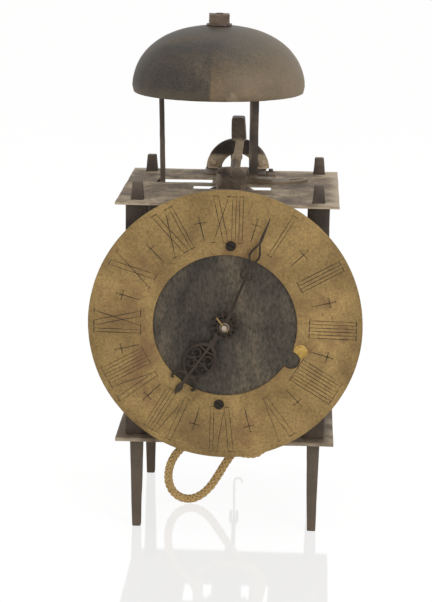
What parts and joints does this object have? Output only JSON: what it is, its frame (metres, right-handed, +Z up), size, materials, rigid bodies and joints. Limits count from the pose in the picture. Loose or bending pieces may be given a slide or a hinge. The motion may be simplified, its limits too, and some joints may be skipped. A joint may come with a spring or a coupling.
{
  "type": "lantern clock",
  "caption": "Posted iron clock movement with a brass chapter ring, two hands, open geared trains and a domed bell above.",
  "frame": {"origin": "on the table under the middle of the clock, midway between the dial's side edges and between the front end of the hand arbor and the rear end of the pendulum pin", "axes": "+Z up, +X to the right as seen from the front, -Y the way the dial faces"},
  "size_m": [0.185, 0.175, 0.3525],
  "materials": {
    "worn_iron": "wrought iron sheet, worn grey-brown",
    "dark_iron": "wrought iron, dark brown patina",
    "iron": "wrought iron, oiled brown",
    "bell_metal": "cast bell metal, dull grey-brown patina",
    "dial_brass": "sheet brass, unlacquered and stained",
    "bright_brass": "brass, rubbed",
    "blackened_steel": "wrought iron, blackened",
    "worn_steel": "forged steel, worn",
    "wheel_brass": "cast brass, aged",
    "pulley_brass": "cast brass, dull",
    "rope": "laid hemp"
  },
  "bodies": {
    "frame": {"top_plate": "worn_iron", "bottom_plate": "worn_iron", "post_front_left": "dark_iron", "post_front_right": "dark_iron", "post_rear_left": "dark_iron", "post_rear_right": "dark_iron", "front_bar": "iron", "middle_bar": "iron", "back_bar": "iron", "frame_fixings": "iron", "hanging_hoop": "iron", "hoop_strap": "dark_iron", "bell_stand": "iron", "bell": "bell_metal", "bell_washer": "dark_iron", "bell_nut": "dark_iron", "pendulum_cock": "iron", "dial_ring": "dial_brass", "dial_centre": "dark_iron", "dial_pillars": "iron", "dial_screws": "dark_iron", "dial_plug": "bright_brass", "hammer_spring": "worn_steel", "rope_over_pulleys": "rope", "rope_front_bight": "rope", "rope_rear_bight": "rope"},
    "minute_work": {"centre_arbor": "worn_steel", "centre_wheel": "wheel_brass", "cannon_pinion": "wheel_brass", "minute_hand": "blackened_steel", "hand_washer": "bright_brass", "hand_pin": "worn_steel"},
    "minute_wheel": {"minute_wheel": "wheel_brass"},
    "hour_work": {"hour_wheel": "wheel_brass", "hour_hand": "blackened_steel"},
    "going_great": {"going_great_arbor": "worn_steel", "going_great_wheel": "wheel_brass", "going_pulley": "pulley_brass"},
    "third": {"third_arbor": "worn_steel", "third_wheel": "wheel_brass"},
    "escape": {"escape_arbor": "worn_steel", "escape_wheel": "wheel_brass"},
    "pallets": {"pallet_arbor": "worn_steel", "anchor": "iron", "crutch": "iron"},
    "pendulum": {"pendulum": "worn_steel"},
    "strike_great": {"strike_great_arbor": "worn_steel", "strike_great_wheel": "wheel_brass"},
    "strike_pulley": {"strike_pulley": "pulley_brass"},
    "strike_click": {"strike_click": "iron"},
    "hoop": {"hoop_arbor": "worn_steel", "hoop_wheel": "wheel_brass"},
    "warning": {"warning_arbor": "worn_steel", "warning_wheel": "wheel_brass"},
    "fly": {"fly": "pulley_brass"},
    "countwheel": {"countwheel": "wheel_brass"},
    "detent": {"locking_detent": "iron"},
    "lifting_piece": {"lifting_piece": "iron"},
    "hammer": {"hammer_arbor": "iron", "hammer": "dark_iron"}
  },
  "joints": [
    {"name": "minute_turn", "type": "hinge", "parent": "frame", "child": "minute_work", "pos_m": [0, -0.01, 0.1516], "axis": [0, 1, 0], "continuous": true},
    {"name": "minute_wheel_turn", "type": "hinge", "parent": "frame", "child": "minute_wheel", "pos_m": [-0.02078, -0.072, 0.1396], "axis": [0, 1, 0], "continuous": true},
    {"name": "hour_turn", "type": "hinge", "parent": "frame", "child": "hour_work", "pos_m": [0, -0.075, 0.1516], "axis": [0, 1, 0], "continuous": true},
    {"name": "going_great_turn", "type": "hinge", "parent": "frame", "child": "going_great", "pos_m": [0, 0.01, 0.112], "axis": [0, 1, 0], "continuous": true},
    {"name": "third_turn", "type": "hinge", "parent": "frame", "child": "third", "pos_m": [0.00943, 0.02, 0.18427], "axis": [0, 1, 0], "continuous": true},
    {"name": "escape_turn", "type": "hinge", "parent": "frame", "child": "escape", "pos_m": [0, 0.02, 0.211], "axis": [0, 1, 0], "continuous": true},
    {"name": "crutch_swing", "type": "hinge", "parent": "frame", "child": "pallets", "pos_m": [0, 0.02, 0.242], "axis": [0, 1, 0], "range_deg": [-3.3, 3.3]},
    {"name": "pendulum_swing", "type": "hinge", "parent": "frame", "child": "pendulum", "pos_m": [0.002, 0.08, 0.2657], "axis": [0, 1, 0], "range_deg": [-3.3, 3.3]},
    {"name": "strike_great_turn", "type": "hinge", "parent": "frame", "child": "strike_great", "pos_m": [0, -0.04, 0.112], "axis": [0, -1, 0], "continuous": true},
    {"name": "strike_pulley_wind", "type": "hinge", "parent": "strike_great", "child": "strike_pulley", "pos_m": [0, -0.025, 0.112], "axis": [0, -1, 0], "continuous": true},
    {"name": "strike_click_lift", "type": "hinge", "parent": "strike_great", "child": "strike_click", "pos_m": [-0.022, -0.033, 0.112], "axis": [0, -1, 0], "range_deg": [0, 14], "stiffness_Nm_per_rad": 0.004, "springref_deg": -17.19},
    {"name": "hoop_turn", "type": "hinge", "parent": "frame", "child": "hoop", "pos_m": [0.03496, -0.045, 0.13059], "axis": [0, -1, 0], "continuous": true},
    {"name": "warning_turn", "type": "hinge", "parent": "frame", "child": "warning", "pos_m": [0.03989, -0.049, 0.15851], "axis": [0, -1, 0], "continuous": true},
    {"name": "fly_turn", "type": "hinge", "parent": "frame", "child": "fly", "pos_m": [0.03797, -0.03, 0.18043], "axis": [0, -1, 0], "continuous": true},
    {"name": "countwheel_turn", "type": "hinge", "parent": "frame", "child": "countwheel", "pos_m": [0, -0.06, 0.1516], "axis": [0, -1, 0], "continuous": true},
    {"name": "detent_lift", "type": "hinge", "parent": "frame", "child": "detent", "pos_m": [0.051, -0.05, 0.193], "axis": [0, 1, 0], "range_deg": [-2.7, 3.8]},
    {"name": "lifting_piece_lift", "type": "hinge", "parent": "frame", "child": "lifting_piece", "pos_m": [-0.042, -0.055, 0.168], "axis": [0, 1, 0], "range_deg": [-7, 5]},
    {"name": "hammer_draw", "type": "hinge", "parent": "frame", "child": "hammer", "pos_m": [-0.0495, -0.02, 0.118], "axis": [0, 1, 0], "range_deg": [0, 9], "stiffness_Nm_per_rad": 0.12, "springref_deg": -6.88, "deforming": ["hammer_spring"]}
  ],
  "couplings": [
    {"joint": "going_great_turn", "follows": "minute_turn", "ratio": -0.125},
    {"joint": "third_turn", "follows": "minute_turn", "ratio": -7.5},
    {"joint": "escape_turn", "follows": "minute_turn", "ratio": 60},
    {"joint": "minute_wheel_turn", "follows": "minute_turn", "ratio": -0.33333},
    {"joint": "hour_turn", "follows": "minute_turn", "ratio": 0.083333},
    {"joint": "pendulum_swing", "follows": "crutch_swing", "ratio": 0.89499},
    {"joint": "countwheel_turn", "follows": "strike_great_turn", "ratio": -0.10256},
    {"joint": "hoop_turn", "follows": "strike_great_turn", "ratio": -8},
    {"joint": "warning_turn", "follows": "strike_great_turn", "ratio": 64},
    {"joint": "fly_turn", "follows": "strike_great_turn", "ratio": -438.86},
    {"joint": "detent_lift", "follows": "lifting_piece_lift", "ratio": -0.525}
  ]
}
